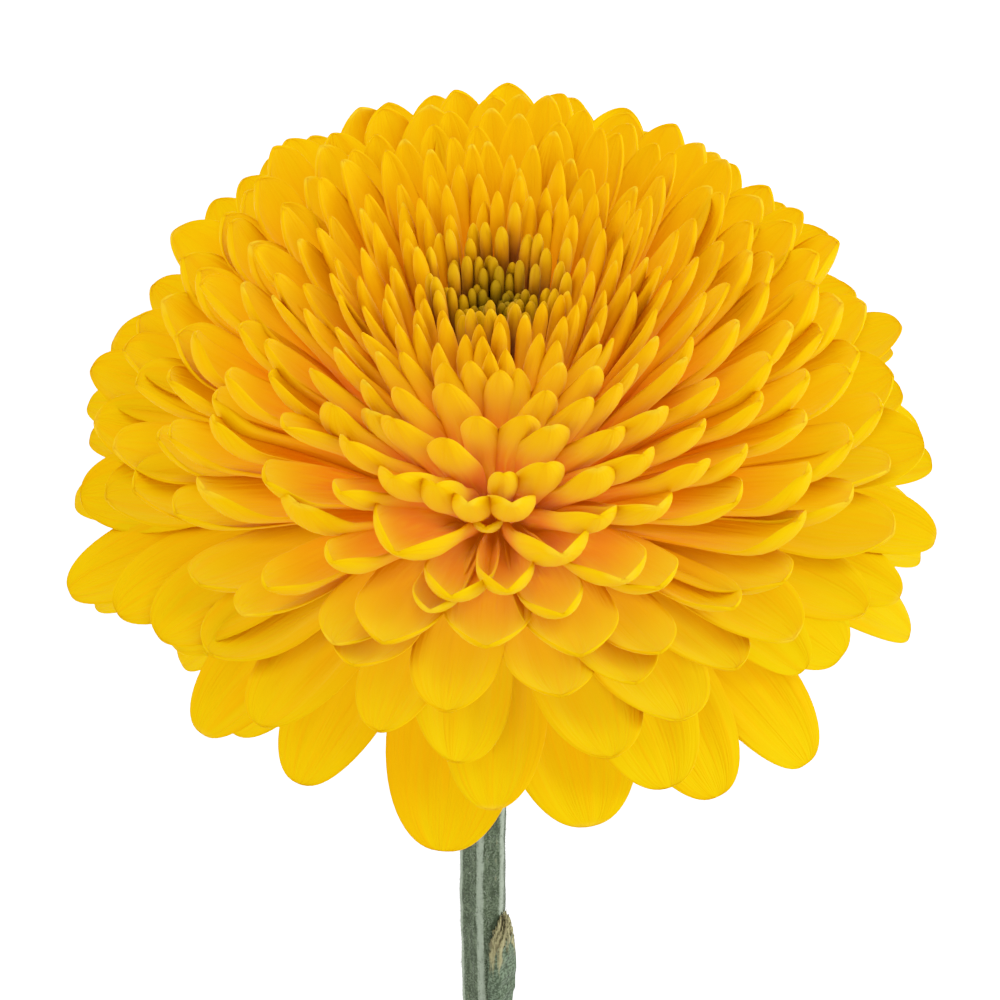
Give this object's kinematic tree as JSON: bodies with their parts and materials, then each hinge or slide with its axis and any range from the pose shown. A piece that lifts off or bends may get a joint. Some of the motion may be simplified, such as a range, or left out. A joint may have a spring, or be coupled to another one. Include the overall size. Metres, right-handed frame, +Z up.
{
  "type": "disbud chrysanthemum bloom on a cut stem",
  "caption": "Large yellow incurved bloom with flaring outer florets and a young green heart, lying on its short cut stem.",
  "frame": {"origin": "on the surface the flower lies on, under the middle of its bounding box", "axes": "+Z up from the surface; the stem runs towards +Y and down to the surface, and the bloom's face looks towards -Y and 20 degrees up"},
  "size_m": [0.1088, 0.1792, 0.1043],
  "materials": {
    "petal_yellow": "soft satin petal, golden yellow",
    "heart_green": "soft satin young petal, yellow green",
    "bract_green": "matte green bract with thin pale edges",
    "stem_green": "matte grey-green stem with short pale hairs"
  },
  "bodies": {
    "root": {"ray_florets": "petal_yellow", "heart_florets": "heart_green", "involucre": "bract_green", "stem": "stem_green"}
  },
  "joints": []
}
